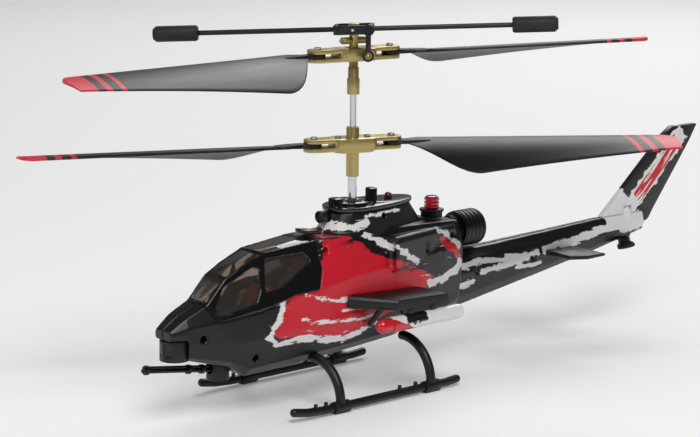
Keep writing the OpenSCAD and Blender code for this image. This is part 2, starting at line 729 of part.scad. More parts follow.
module upper_yoke() {
    color([0.77, 0.68, 0.4]) at_yoke() difference() {
        union() {
            translate([0, 0, -2.1]) linear_extrude(4.2) polygon(cut_rect(14.6, 10.4, 1.6));
            ears();
            translate([ball_s, -ball_n, 0]) sphere(r = 0.85);
            translate([ball_s, 0, 0]) rod_y(-ball_n, -4.8, 0.4);
        }
        translate([-2.4, -3, -3]) cube([4.8, 6, 6]);
        rod_x(-6.4, 6.4, 0.6 + run_gap);
        ear_holes();
        for (a = [0, 180]) rotate([0, 0, a]) translate([7.6, -6, -slot_h / 2]) cube([12, 12, slot_h]);
    }
}
module upper_yoke_screws() {
    color("silver") at_yoke() for (s = [-1, 1]) translate([s * blade_pivot, 0, 0]) {
        translate([0, 0, -slot_h / 2 - ear_t]) cylinder(h = slot_h + 2 * ear_t, r = pivot_screw_r);
        translate([0, 0, slot_h / 2 + ear_t + eps]) cylinder(h = 0.8, r = 1.25);
    }
}

cross_z = 124;
cross_half = 5;
module shaft_head() {
    color([0.77, 0.68, 0.4]) difference() {
        union() {
            translate([0, 0, 104.9]) cylinder(h = 5.5, r = 2.25);
            translate([0, 0, 110.3]) cylinder(h = 4.2, r = 1.9);
            translate([0, 0, 114.4]) cylinder(h = 12, r = 1.6);
            translate([0, 0, cross_z]) rotate([0, 0, upper_az]) rod_x(-cross_half, cross_half, 1.25);
            at_flybar_level() translate([-1.8, -1.8, -1.7]) cube([3.6, 3.6, 3.7]);
        }
        translate([0, 0, 104]) cylinder(h = 13.6, r = shaft_r + fit_gap);
        at_yoke() rod_x(-4, 4, 0.6 + fit_gap);
        translate([0, 0, cross_z]) rotate([0, 0, upper_az]) rod_x(-8, 8, 0.6 + fit_gap);
        at_flybar_level() rod_y(-4, 4, 0.5 + fit_gap);
    }
}

module head_pins() {
    color("silver") {
        at_yoke() rod_x(-6.2, 6.2, 0.6);
        translate([0, 0, cross_z]) rotate([0, 0, upper_az]) rod_x(-cross_half - 0.8, cross_half + 0.8, 0.6);
        at_flybar_level() rod_y(-4.6, 4.6, 0.5);
    }
}

// Curved blade plate: span along +X, leading edge on +Y, seen flat
module blade_plate() {
    curve_r = 55;
    curve_y = -7.8;
    flare_start = 20;
    flare_end = 44.5;
    root_back = 2.2;
    flare = [for (i = [0:8]) let (t = i / 8) [
        flare_start + (flare_end - flare_start) * t,
        -root_back - (chord_back - root_back) * pow(sin(90 * t), 1.2)
    ]];
    outline = concat(
        [[19.4, -root_back], [19.4, 2.2], [25, chord_front], [rotor_r - 5.2, chord_front]],
        [for (a = [75:-15:15]) [rotor_r - 5.2 + 5.2 * cos(a), chord_front - 7 + 7 * sin(a)]],
        [[rotor_r, chord_front - 7], [rotor_r, 1 - tip_back], [rotor_r - 1, -tip_back]],
        [for (i = [8:-1:1]) flare[i]]
    );
    intersection() {
        translate([0, 0, -4]) linear_extrude(8) polygon(outline);
        translate([0, curve_y, 0.5 - curve_r]) difference() {
            rod_x(10, rotor_r + 5, curve_r + blade_t / 2, $fn = 96);
            rod_x(9, rotor_r + 6, curve_r - blade_t / 2, $fn = 96);
        }
    }
}

// One blade: hand is 1 where it turns anticlockwise from above, -1 clockwise
module blade(hand, fold) {
    translate([blade_pivot, 0, 0]) rotate([0, -fold[1], fold[0]]) translate([-blade_pivot, 0, 0])
        mirror([0, hand > 0 ? 0 : 1, 0]) difference() {
            union() {
                rotate([blade_pitch, 0, 0]) blade_plate();
                translate([blade_pivot, 0, -tab_t / 2]) cylinder(h = tab_t, r = 2.9);
                translate([blade_pivot, -2.2, -tab_t / 2]) cube([11, 4.4, tab_t]);
            }
            translate([blade_pivot, 0, -3]) cylinder(h = 6, r = pivot_screw_r + run_gap);
        }
}
blade_black = [0.07, 0.07, 0.08];
module lower_blade_a() { color(blade_black) at_lower_hub() blade(1, lower_fold[0]); }
module lower_blade_b() { color(blade_black) at_lower_hub() rotate([0, 0, 180]) blade(1, lower_fold[1]); }
module upper_blade_a() { color(blade_black) at_yoke() blade(-1, upper_fold[0]); }
module upper_blade_b() { color(blade_black) at_yoke() rotate([0, 0, 180]) blade(-1, upper_fold[1]); }

// ---------- flybar and link ----------

weight_l = 16;
module flybar() {
    color([0.12, 0.12, 0.12]) at_flybar() difference() {
        union() {
            difference() {
                translate([0, 0, -1.6]) linear_extrude(3.2) polygon(cut_rect(14, 9.2, 1.2));
                translate([-5.6, -3.3, -3]) cube([11.2, 6.6, 6]);
            }
            for (s = [0, 180]) rotate([0, 0, s]) rod_x(6.8, flybar_r - 4, 0.9);
            translate([link_f, 0, 0]) rod_y(-6.5, -4.4, 0.95);
        }
        rod_y(-6, 6, 0.5 + run_gap);
    }
}
module flybar_weights() {
    color([0.06, 0.06, 0.06]) at_flybar() for (s = [0, 180]) rotate([0, 0, s]) difference() {
        union() {
            rod_x(flybar_r - weight_l, flybar_r - 0.6, 2.6);
            rod_x(flybar_r - weight_l + 0.5, flybar_r - 1.1, 2.85);
            rod_x(flybar_r - weight_l, flybar_r, 2.1);
        }
        rod_x(flybar_r - weight_l - 1, flybar_r - 3.9, 0.9 + fit_gap);
    }
}

link_t = 1.3;
link_top = link_f * sin(flybar_tilt);
link_low = upper_z - flybar_z;
module link_rod() {
    color([0.14, 0.14, 0.14]) at_flybar_level()
        translate([link_f * cos(flybar_tilt), -link_m, 0]) difference() {
            union() {
                translate([0, 0, link_top]) rod_y(-link_t / 2, link_t / 2, 2.05);
                translate([0, 0, link_low]) rod_y(-link_t / 2, link_t / 2, 2.1);
                translate([-0.9, -link_t / 2, link_low + 1.6]) cube([1.8, link_t, link_top - link_low - 3.2]);
            }
            translate([0, 0, link_top]) rod_y(-2, 2, 0.95 + run_gap);
            translate([0, 0, link_low]) rod_y(-2, 2, 1.3);
        }
}

// ---------- electrics ----------

module battery() { color([0.75, 0.75, 0.78]) translate([21, -6.5, 18.6]) cube([30, 13, 8]); }
module receiver_board() {
    color([0.1, 0.35, 0.2]) translate([-43, -5.2, 28.4]) {
        cube([20, 10.4, 1.2]);
        translate([3, 2, 1.2]) cube([5, 5, 1]);
        translate([11, 1.6, 1.2]) cube([6, 3, 1.6]);
    }
}
module charge_socket() {
    color([0.1, 0.1, 0.1]) translate([-30, 0, 18.3]) difference() {
        cylinder(h = 8, r = 2.6);
        translate([0, 0, -1]) cylinder(h = 7, r = 1.25);
    }
}
module switch_body() {
    color([0.25, 0.25, 0.26]) difference() {
        translate([8, -3, 17.2]) cube([11, 6, 2.6]);
        translate([9.6, -1.4, 16]) cube([7.8, 2.8, 2.6]);
    }
}
module switch_slider() { color([0.5, 0.5, 0.5]) translate([9.9, -1.1, 13.8]) cube([3, 2.2, 4.4]); }

fuselage_port();
fuselage_starboard();
canopy_frame();
canopy_glass();
cockpit_floor();
rotor_deck();
status_lamp();
front_lamp();
roof_scoop();
beacon_base();
beacon_lens();
exhaust_nozzle();
nose_turret();
nose_windows();
chin_turret();
gun_barrel();
stub_wing_port();
stub_wing_starboard();
canister_port();
canister_starboard();
tail_fin();
tailplane();
tail_motor();
tail_propeller();
skid_port();
skid_starboard();
front_legs();
rear_legs();
chassis();
shaft_bearings();
main_motors();
front_pinion();
rear_pinion();
lower_drive_gear();
upper_drive_gear();
outer_tube();
inner_shaft();
lower_hub();
lower_hub_screws();
lower_blade_a();
lower_blade_b();
shaft_head();
head_pins();
upper_yoke();
upper_yoke_screws();
upper_blade_a();
upper_blade_b();
flybar();
flybar_weights();
link_rod();
battery();
receiver_board();
charge_socket();
switch_body();
switch_slider();
case_screws();
tail_wires();
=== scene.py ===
"""Looks of a toy remote control helicopter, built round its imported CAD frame.

Lengths are in metres, apart from names that end in _mm or _MM, the livery, the glazing and the
rotor blades, which are in millimetres.
"""
import json
import math

import bmesh
import bpy
import numpy as np
from mathutils import Matrix, Vector


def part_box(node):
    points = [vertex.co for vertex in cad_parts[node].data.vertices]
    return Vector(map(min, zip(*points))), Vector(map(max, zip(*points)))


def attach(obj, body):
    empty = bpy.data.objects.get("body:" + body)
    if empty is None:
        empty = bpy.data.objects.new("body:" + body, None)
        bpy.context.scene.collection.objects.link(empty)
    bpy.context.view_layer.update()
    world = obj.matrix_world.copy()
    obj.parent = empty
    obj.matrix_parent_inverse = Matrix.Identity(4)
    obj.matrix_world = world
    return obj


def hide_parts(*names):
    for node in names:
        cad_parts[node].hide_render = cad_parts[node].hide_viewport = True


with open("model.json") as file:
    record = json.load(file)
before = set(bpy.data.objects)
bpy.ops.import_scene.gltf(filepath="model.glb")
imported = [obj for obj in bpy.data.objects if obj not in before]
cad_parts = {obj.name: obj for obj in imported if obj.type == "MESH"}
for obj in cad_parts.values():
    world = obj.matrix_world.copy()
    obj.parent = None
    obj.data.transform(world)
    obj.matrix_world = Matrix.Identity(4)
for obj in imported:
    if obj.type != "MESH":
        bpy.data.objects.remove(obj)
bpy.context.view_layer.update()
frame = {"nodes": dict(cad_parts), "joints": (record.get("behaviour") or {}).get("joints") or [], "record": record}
nodes = frame["nodes"]
MM = 0.001

# Colours, linear RGB
CHARCOAL = (0.006, 0.006, 0.007)
JET = (0.004, 0.004, 0.0045)
WHITE = (0.80, 0.79, 0.79)
SIGNAL_RED = (0.62, 0.012, 0.028)
CRIMSON = (0.66, 0.012, 0.045)
GOLD = (0.47, 0.37, 0.15)
STEEL = (0.62, 0.62, 0.63)


# ---------------------------------------------------------------- shader helpers

def node(tree, kind, inputs=None, **settings):
    """A shader node; inputs maps socket names or indices to values or output sockets."""
    made = tree.nodes.new(kind)
    for key, value in settings.items():
        setattr(made, key, value)
    for key, value in (inputs or {}).items():
        socket = made.inputs[key]
        if isinstance(value, bpy.types.NodeSocket):
            tree.links.new(value, socket)
        else:
            socket.default_value = value
    return made


def math_node(tree, operation, a, b=0.0):
    return node(tree, "ShaderNodeMath", {0: a, 1: b}, operation=operation).outputs[0]


def plus(tree, a, b):
    return math_node(tree, "ADD", a, b)


def minus(tree, a, b):
    return math_node(tree, "SUBTRACT", a, b)


def times(tree, a, b):
    return math_node(tree, "MULTIPLY", a, b)


def lower_of(tree, a, b):
    return math_node(tree, "MINIMUM", a, b)


def higher_of(tree, a, b):
    return math_node(tree, "MAXIMUM", a, b)


def size_of(tree, a):
    return math_node(tree, "ABSOLUTE", a)


def mix_color(tree, factor, a, b):
    made = node(tree, "ShaderNodeMix", {"Factor": factor}, data_type="RGBA")
    for socket, value in ((made.inputs[6], a), (made.inputs[7], b)):
        if isinstance(value, bpy.types.NodeSocket):
            tree.links.new(value, socket)
        else:
            socket.default_value = (*value, 1)
    return made.outputs[2]


def step(tree, value, low, high):
    """0 at low, 1 at high, and a straight slope between them."""
    made = node(tree, "ShaderNodeMapRange", {"Value": value, "From Min": low, "From Max": high})
    return made.outputs[0]


def spread(tree, value, low, high):
    """A value from 0 to 1 moved into the range from low to high."""
    made = node(tree, "ShaderNodeMapRange", {"Value": value, "To Min": low, "To Max": high})
    return made.outputs[0]


def noise_node(tree, vector, size_mm, detail=3.0, roughness=0.55):
    """Noise about size_mm across, from 0 to 1."""
    return node(tree, "ShaderNodeTexNoise", {
        "Vector": vector, "Scale": 1 / (size_mm * MM), "Detail": detail, "Roughness": roughness,
    }).outputs["Fac"]


def stretched(tree, vector, scale):
    return node(tree, "ShaderNodeMapping", {"Vector": vector, "Scale": scale}).outputs[0]


def along_direction(tree, vector, direction):
    """The dot product of a vector with a direction."""
    made = node(tree, "ShaderNodeVectorMath", {0: vector, 1: direction}, operation="DOT_PRODUCT")
    return made.outputs["Value"]


def in_mm(tree, vector):
    return stretched(tree, vector, (1 / MM, 1 / MM, 1 / MM))


def attribute(tree, name):
    return node(tree, "ShaderNodeAttribute", attribute_name=name).outputs["Fac"]


def start(name):
    material = bpy.data.materials.new(name)
    material.use_nodes = True
    tree = material.node_tree
    place = node(tree, "ShaderNodeTexCoord").outputs["Object"]
    return material, tree, tree.nodes["Principled BSDF"], place


def shade(tree, shader, place, color, rough, vary=0.25, grain_mm=0.35, bump=0.02, rough_vary=0.08):
    """Links colour, roughness and a fine grain bump, each varied by noise."""
    cloud = noise_node(tree, place, 9.0, 4.0)
    amount = spread(tree, cloud, 1 - vary, 1 + vary)
    tinted = node(tree, "ShaderNodeVectorMath", {0: color, "Scale": amount}, operation="SCALE")
    tree.links.new(tinted.outputs[0], shader.inputs["Base Color"])
    scuff = noise_node(tree, place, 2.2, 5.0, 0.7)
    worn = spread(tree, scuff, rough - rough_vary, rough + rough_vary)
    tree.links.new(worn, shader.inputs["Roughness"])
    grain = noise_node(tree, place, grain_mm, 2.0)
    bumped = node(tree, "ShaderNodeBump", {"Height": grain, "Strength": 0.35, "Distance": bump * MM})
    tree.links.new(bumped.outputs[0], shader.inputs["Normal"])


def moulded(name, color, rough=0.42, coat=0.0, **finish):
    material, tree, shader, place = start(name)
    shade(tree, shader, place, color, rough, **finish)
    shader.inputs["Coat Weight"].default_value = coat
    shader.inputs["Coat Roughness"].default_value = 0.12
    return material


def metal(name, color, rough, stretch=(1, 1, 0.08), metallic=1.0, **finish):
    """Turned or drawn metal: its grain runs along Z unless stretch says otherwise."""
    material, tree, shader, place = start(name)
    shade(tree, shader, stretched(tree, place, stretch), color, rough, **finish)
    shader.inputs["Metallic"].default_value = metallic
    return material


def smoked(name, color, rough, see_through):
    material, tree, shader, place = start(name)
    shade(tree, shader, place, color, rough, vary=0.12, bump=0.004, rough_vary=0.03)
    shader.inputs["Transmission Weight"].default_value = see_through
    shader.inputs["IOR"].default_value = 1.45
    shader.inputs["Coat Weight"].default_value = 0.5
    return material


def paint(tree, coats, base):
    """Lays coats of (mask, colour) over base, first to last."""
    color = base
    for mask, coat in coats:
        color = mix_color(tree, mask, color, coat)
    return color


def ragged(tree, place, field, size_mm, reach):
    """1 where field plus a torn edge of about reach mm is above zero."""
    noise = noise_node(tree, place, size_mm, 6.0, 0.62)
    tear = times(tree, minus(tree, noise, 0.5), 2 * reach)
    soft = 0.12
    return step(tree, plus(tree, field, tear), -soft, soft)


def livery_material():
    """Black body with torn-edged red panels and white streaks, from the fields on the shell."""
    material, tree, shader, place = start("body_livery")
    red = attribute(tree, "red_field")
    white = attribute(tree, "white_field")
    slant = stretched(tree, place, (0.45, 1, 1.5))
    body = ragged(tree, slant, red, 4.0, 2.2)
    streak = ragged(tree, slant, white, 2.4, 2.6)
    # Chips and scratches, only near a panel's edge
    fine = stretched(tree, place, (0.3, 1, 1.7))
    near_edge = step(tree, size_of(tree, red), 3.4, 1.0)
    chips = step(tree, noise_node(tree, fine, 6.0, 8.0, 0.7), 0.565, 0.575)
    scratches = step(tree, noise_node(tree, fine, 2.6, 6.0, 0.7), 0.63, 0.64)
    color = paint(tree, [
        (body, SIGNAL_RED),
        (times(tree, chips, near_edge), CHARCOAL),
        (times(tree, scratches, near_edge), WHITE),
        (streak, WHITE),
    ], CHARCOAL)
    shade(tree, shader, place, color, 0.33, vary=0.08, bump=0.01)
    shader.inputs["Specular IOR Level"].default_value = 0.42
    shader.inputs["Coat Weight"].default_value = 0.1
    shader.inputs["Coat Roughness"].default_value = 0.2
    return material


def fin_material():
    """White torn foot and band up the fin, with red streaks along the band."""
    material, tree, shader, place = start("fin_livery")
    up_the_fin = (-0.74, 0, 0.67)
    down_and_aft = (-0.67, 0, -0.74)
    band_middle, band_half, band_end = 65.5, 3.9, 183.0
    foot_end = 143.0
    red_half, red_start, red_end = 2.9, 146.0, 178.0
    scaled = in_mm(tree, place)
    along = along_direction(tree, scaled, up_the_fin)
    across = along_direction(tree, scaled, down_and_aft)
    off_middle = size_of(tree, minus(tree, across, band_middle))

    band = lower_of(tree, minus(tree, band_half, off_middle), minus(tree, band_end, along))
    foot = minus(tree, foot_end, along)
    white = higher_of(tree, ragged(tree, place, band, 4.0, 3.2), ragged(tree, place, foot, 5.0, 3.5))

    inner = lower_of(tree, minus(tree, red_half, off_middle), minus(tree, along, red_start))
    inner = lower_of(tree, inner, minus(tree, red_end, along))
    long_grain = node(tree, "ShaderNodeCombineXYZ", {
        0: times(tree, along, 0.07 * MM),
        2: times(tree, across, MM),
    }).outputs[0]
    brushed = step(tree, noise_node(tree, long_grain, 1.5, 3.0), 0.47, 0.49)
    red = times(tree, ragged(tree, long_grain, inner, 3.0, 2.0), brushed)

    color = paint(tree, [(white, WHITE), (red, SIGNAL_RED)], CHARCOAL)
    shade(tree, shader, place, color, 0.38, vary=0.10, bump=0.012)
    return material


def canister_material():
    """White tank with a red nose and a torn dark patch behind it."""
    material, tree, shader, place = start("canister_livery")
    axis_height, lean = 26.3, 2.2
    patch_middle, patch_half, patch_low = -6.0, 5.0, 26.0
    parts = node(tree, "ShaderNodeSeparateXYZ", {0: in_mm(tree, place)})
    along = parts.outputs[0]
    height = parts.outputs[2]
    slant = plus(tree, along, times(tree, minus(tree, axis_height, height), lean))
    red = ragged(tree, place, plus(tree, slant, 0.5), 3.5, 3.0)
    patch = minus(tree, patch_half, size_of(tree, minus(tree, along, patch_middle)))
    patch = lower_of(tree, patch, minus(tree, height, patch_low))
    dark = ragged(tree, place, patch, 2.6, 2.4)
    color = paint(tree, [(red, SIGNAL_RED), (dark, CHARCOAL)], WHITE)
    shade(tree, shader, place, color, 0.24, vary=0.06, bump=0.006)
    shader.inputs["Coat Weight"].default_value = 0.5
    return material


def blade_material(hand):
    """Satin black with slanted crimson bands towards the tip, in the blade's own coordinates."""
    material, tree, shader, place = start("blade_bands_" + ("left" if hand > 0 else "right"))
    tip_start, lean, edge = 110.4, 0.18, 0.2
    bands = ((105.2, 107.7), (100.2, 102.2))
    along = along_direction(tree, in_mm(tree, place), (1, hand * lean, 0))
    red = step(tree, along, tip_start, tip_start + 0.3)
    for low, high in bands:
        inside = times(tree, step(tree, along, low, low + edge), step(tree, along, high, high - edge))
        red = higher_of(tree, red, inside)
    color = mix_color(tree, red, JET, CRIMSON)
    shade(tree, shader, stretched(tree, place, (0.12, 1, 1)), color, 0.40, vary=0.12, bump=0.01)
    return material


MATERIALS = {
    "body": livery_material(),
    "fin": fin_material(),
    "canister": canister_material(),
    "blade_left": blade_material(1),
    "blade_right": blade_material(-1),
    "black": moulded("black_moulding", JET, 0.44),
    "black_gloss": moulded("canopy_moulding", JET, 0.2, coat=0.3, bump=0.004),
    "rubber": moulded("weight_rubber", (0.009, 0.009, 0.009), 0.62, grain_mm=0.2, bump=0.03),
    "interior": moulded("cabin_lining", (0.02, 0.017, 0.015), 0.6),
    "dark_window": moulded("sensor_window", (0.002, 0.002, 0.003), 0.3, bump=0.001),
    "gold": metal("gold_anodised", GOLD, 0.38, metallic=0.85, stretch=(1, 1, 0.5), vary=0.08, bump=0.006),
    "steel": metal("polished_steel", STEEL, 0.16, vary=0.05, bump=0.003, rough_vary=0.05),
    "brass": metal("turned_brass", (0.62, 0.44, 0.16), 0.25, vary=0.08),
    "nylon": moulded("gear_nylon", (0.66, 0.63, 0.55), 0.5, vary=0.06),
    "board": moulded("circuit_board", (0.01, 0.09, 0.04), 0.3),
    "cell": moulded("cell_wrap", (0.34, 0.34, 0.37), 0.3, vary=0.1),
    "wire": moulded("wire_insulation", (0.35, 0.01, 0.01), 0.4),
    "glass": smoked("smoked_glazing", (0.56, 0.49, 0.43), 0.03, 0.96),
    "red_glass": smoked("red_lens", (0.85, 0.012, 0.05), 0.14, 0.35),
    "dark_red_glass": smoked("lamp_lens", (0.16, 0.005, 0.02), 0.10, 0.3),
}


# ---------------------------------------------------------------- mesh helpers

def put(obj):
    bpy.context.scene.collection.objects.link(obj)
    return obj


def dress(obj, material, smooth=40):
    """One material over the whole piece, smooth shaded up to an angle in degrees."""
    obj.data.materials.clear()
    obj.data.materials.append(MATERIALS[material])
    obj.data.polygons.foreach_set("material_index", [0] * len(obj.data.polygons))
    obj.data.shade_smooth()
    obj.data.set_sharp_from_angle(angle=math.radians(smooth))


def piece_from(mesh_data, name, body, replaced, material, smooth=40):
    """A piece that rides on a body and stands for the CAD nodes it replaces."""
    obj = put(bpy.data.objects.new(name, mesh_data))
    dress(obj, material, smooth)
    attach(obj, body)
    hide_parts(*replaced)
    return obj


def welded_copy(name):
    """A copy of a CAD node's mesh with its split corners joined."""
    work = bmesh.new()
    work.from_mesh(nodes[name].data)
    bmesh.ops.remove_doubles(work, verts=work.verts, dist=1e-6)
    mesh_data = bpy.data.meshes.new(name + "_copy")
    work.to_mesh(mesh_data)
    work.free()
    return mesh_data


def baked(obj):
    """The object's mesh with its modifiers applied."""
    depsgraph = bpy.context.evaluated_depsgraph_get()
    mesh_data = bpy.data.meshes.new_from_object(obj.evaluated_get(depsgraph))
    bpy.data.objects.remove(obj)
    return mesh_data


def softened(name, voxel_mm, passes):
    """A CAD node's shape with moulded, rounded edges."""
    obj = put(bpy.data.objects.new(name + "_work", welded_copy(name)))
    remesh = obj.modifiers.new("remesh", "REMESH")
    remesh.mode = "VOXEL"
    remesh.voxel_size = voxel_mm * MM
    smooth = obj.modifiers.new("smooth", "SMOOTH")
    smooth.factor = 0.5
    smooth.iterations = passes
    return baked(obj)


def bevelled(name, width_mm, segments=2, angle=32):
    """A CAD node's shape with its hard edges rounded."""
    mesh_data = welded_copy(name)
    work = bmesh.new()
    work.from_mesh(mesh_data)
    bmesh.ops.dissolve_limit(work, angle_limit=math.radians(0.8), verts=work.verts, edges=work.edges)
    work.to_mesh(mesh_data)
    work.free()
    obj = put(bpy.data.objects.new(name + "_work", mesh_data))
    bevel = obj.modifiers.new("bevel", "BEVEL")
    bevel.width = width_mm * MM
    bevel.segments = segments
    bevel.limit_method = "ANGLE"
    bevel.angle_limit = math.radians(angle)
    return baked(obj)


def body_named(node_name):
    bodies = frame["record"]["behaviour"]["bodies"]
    return next(body for body, names in bodies.items() if node_name in names)


# ---------------------------------------------------------------- livery fields

RED_PANELS = [
    [(28, 46), (33, 44.4), (38.6, 43.8), (40.4, 40.9), (41.7, 37.2), (43.9, 31.2), (47.9, 27.2), (45.2, 24.3),
     (35.7, 24.9), (26.5, 23.1), (15.2, 21.3), (8.1, 22.7), (0, 25.1), (-9.8, 27.3), (-17.6, 30.2),
     (-24.5, 32.9), (-30.5, 36.5), (-21.8, 40.7), (-13.8, 44), (-6.9, 46.5), (0.4, 49.6), (4.8, 53.1),
     (11.4, 56.2), (19.9, 56.9), (22, 54.9), (23, 48)],
    [(-33.5, 50.6), (-40, 48.6), (-45.4, 43.5), (-45.4, 40.2), (-40, 44.2), (-34, 47.4)],
]
WHITE_PATCHES = [
    [(-134, 41), (-133, 44), (-143, 48), (-149, 48), (-163, 45), (-158, 38), (-151, 36.6), (-144, 36.8)],
]
# Streaks: half width, then the points of a line
WHITE_STREAKS = [
    (1.0, [(38.6, 43.8), (41.2, 38.9), (43.9, 31.2), (48.8, 25.9), (45.2, 22.8), (35.7, 23.8), (26.4, 22),
           (15.2, 20.2), (8.1, 21.6), (0, 24.3)]),
    (0.5, [(32, 38), (20, 35), (8, 34)]),
    (0.55, [(34, 30), (22, 27.5), (8, 26.5), (-2, 27)]),
    (0.4, [(16, 31), (8, 30), (-3, 30.5)]),
    (1.35, [(18.3, 58.6), (12.6, 59.3), (5.1, 58.7), (1.3, 60)]),
    (0.5, [(1.3, 62.2), (-7.9, 62.4), (-16.2, 62.5)]),
    (1.1, [(2.5, 55.5), (-5.3, 52), (-12.7, 47.7), (-20.7, 42.9)]),
    (1.7, [(-28, 34.2), (-36, 34.4), (-43, 36.5), (-45.5, 39)]),
    (1.0, [(-33, 52.9), (-37.5, 51.4), (-44.5, 46)]),
    (1.1, [(-48.2, 29), (-55, 30)]),
    (1.2, [(-48.2, 36.1), (-59, 37), (-74, 35.8), (-92, 35.6)]),
    (1.35, [(-60, 33.2), (-72, 33.6), (-86, 34.7)]),
    (0.8, [(-80, 31.6), (-94, 31.4)]),
    (1.6, [(-96, 36.4), (-110, 37.2), (-122, 38.6), (-132, 39.6), (-146, 40.2)]),
]


def polygon_distance(x, z, outline):
    """Distance inside an outline, in mm; negative outside it."""
    inside = np.zeros(len(x), bool)
    nearest = np.full(len(x), 1e9)
    for (ax, az), (bx, bz) in zip(outline, outline[1:] + outline[:1]):
        nearest = np.minimum(nearest, line_distance(x, z, ax, az, bx, bz))
        crosses = (az > z) != (bz > z)
        slope = (bx - ax) / (bz - az) if bz != az else 0
        inside ^= crosses & (x < ax + (z - az) * slope)
    return np.where(inside, nearest, -nearest)


def line_distance(x, z, ax, az, bx, bz):
    dx, dz = bx - ax, bz - az
    t = np.clip(((x - ax) * dx + (z - az) * dz) / (dx * dx + dz * dz), 0, 1)
    return np.hypot(x - ax - t * dx, z - az - t * dz)


def add_fields(mesh_data):
    """Stores how deep each point lies in the red panels and the white streaks, in mm."""
    places = np.empty(len(mesh_data.vertices) * 3, np.float32)
    mesh_data.vertices.foreach_get("co", places)
    x, z = places[0::3] / MM, places[2::3] / MM
    red = np.max([polygon_distance(x, z, outline) for outline in RED_PANELS], axis=0)
    white = np.max([polygon_distance(x, z, outline) for outline in WHITE_PATCHES] + [
        half - np.min([line_distance(x, z, *a, *b) for a, b in zip(line, line[1:])], axis=0)
        for half, line in WHITE_STREAKS], axis=0)
    for name, field in (("red_field", red), ("white_field", white)):
        layer = mesh_data.attributes.new(name, "FLOAT", "POINT")
        layer.data.foreach_set("value", np.clip(field, -20, 20).astype(np.float32))


# ---------------------------------------------------------------- pieces from the frame

def fuselage():
    for name in ("fuselage_port", "fuselage_starboard"):
        shell = softened(name, 0.42, 3)
        add_fields(shell)
        piece_from(shell, name + "_shell", "airframe", [name], "body", 60)
    frame_mesh = softened("canopy_frame", 0.28, 3)
    piece_from(
        frame_mesh, "canopy_frame_shell", "airframe", ["canopy_frame"], "black_gloss", 60)


def ramp(value, low, high):
    """0 below low, 1 above high, and a straight slope between them."""
    return min(max((value - low) / (high - low), 0), 1)


def glazing():
    """The clear canopy moulding, moved out to lie flush with its painted frame."""
    mesh_data = welded_copy("canopy_glass")
    widen, lift, forward = 1.1, 1.1, 0.7
    for vertex in mesh_data.vertices:
        x, y, z = (c / MM for c in vertex.co)
        x += forward * ramp(x, 60, 64)
        y *= widen
        z += lift * ramp(z, 38, 46)
        vertex.co = Vector((x, y, z)) * MM
    piece_from(
        mesh_data, "canopy_glazing", "airframe", ["canopy_glass"], "glass", 20)


# Edge rounding in mm and finish of each CAD node that gets rounded edges
ROUNDED = {
    "rotor_deck": (0.35, "black_gloss"), "roof_scoop": (0.2, "black_gloss"), "beacon_base": (0.3, "black"),
    "beacon_lens": (0.12, "red_glass"), "exhaust_nozzle": (0.25, "black"), "nose_turret": (0.3, "black"),
    "chin_turret": (0.3, "black"), "front_lamp": (0.2, "black"), "stub_wing_port": (0.3, "black"),
    "stub_wing_starboard": (0.3, "black"), "tail_fin": (0.4, "fin"), "tailplane": (0.15, "black"),
    "lower_hub": (0.35, "gold"), "upper_yoke": (0.35, "gold"), "shaft_head": (0.2, "gold"),
    "flybar": (0.25, "black"), "flybar_weights": (0.3, "rubber"), "link_rod": (0.2, "black"),
    "front_legs": (0.2, "black"), "rear_legs": (0.2, "black"), "tail_propeller": (0.15, "black"),
}
# Finish of each CAD node that stays as it is
PLAIN = {
    "cockpit_floor": "interior", "status_lamp": "dark_red_glass",
    "nose_windows": "dark_window", "gun_barrel": "black", "canister_port": "canister",
    "canister_starboard": "canister", "tail_motor": "steel", "skid_port": "black", "skid_starboard": "black",
    "chassis": "black", "shaft_bearings": "brass", "main_motors": "steel", "front_pinion": "brass",
    "rear_pinion": "brass", "lower_drive_gear": "nylon", "upper_drive_gear": "nylon",
    "outer_tube": "steel", "inner_shaft": "steel", "lower_hub_screws": "steel", "head_pins": "steel",
    "upper_yoke_screws": "steel", "battery": "cell", "receiver_board": "board", "charge_socket": "black",
    "switch_body": "black", "switch_slider": "black", "case_screws": "steel", "tail_wires": "wire",
}


def carried_over():
    for name, (width, material) in ROUNDED.items():
        piece_from(
            bevelled(name, width), name + "_piece", body_named(name), [name], material)
    for name, material in PLAIN.items():
        dress(nodes[name], material)


# ---------------------------------------------------------------- rotor blades

# Distances along the blade from the mast axis, in mm
PIVOT, ROOT_START, FLARE_START, FRONT_FULL, FLARE_END, TIP = 14.8, 19.4, 20, 25, 44.5, 118.8
# Chord before and behind the blade's axis, in mm, and the rounding of its leading corner
ROOT_HALF, FRONT, BACK, TIP_BACK = 2.2, 5.0, 24.6, 11.0
CORNER_LENGTH, CORNER_DEPTH = 5.2, 7
# Pitch at the root and its loss towards the tip, in degrees
ROOT_PITCH, TWIST = 14.6, 2.6
# For each fold joint: the CAD node, then the rest fold about the screw and the rise to the tip in degrees
BLADE_JOINTS = {
    "lower_blade_fold_1": ("lower_blade_a", -16.7, 0.4),
    "lower_blade_fold_2": ("lower_blade_b", -8.0, -0.8),
    "upper_blade_fold_1": ("upper_blade_a", -9.5, 0.8),
    "upper_blade_fold_2": ("upper_blade_b", 7.9, -0.6),
}


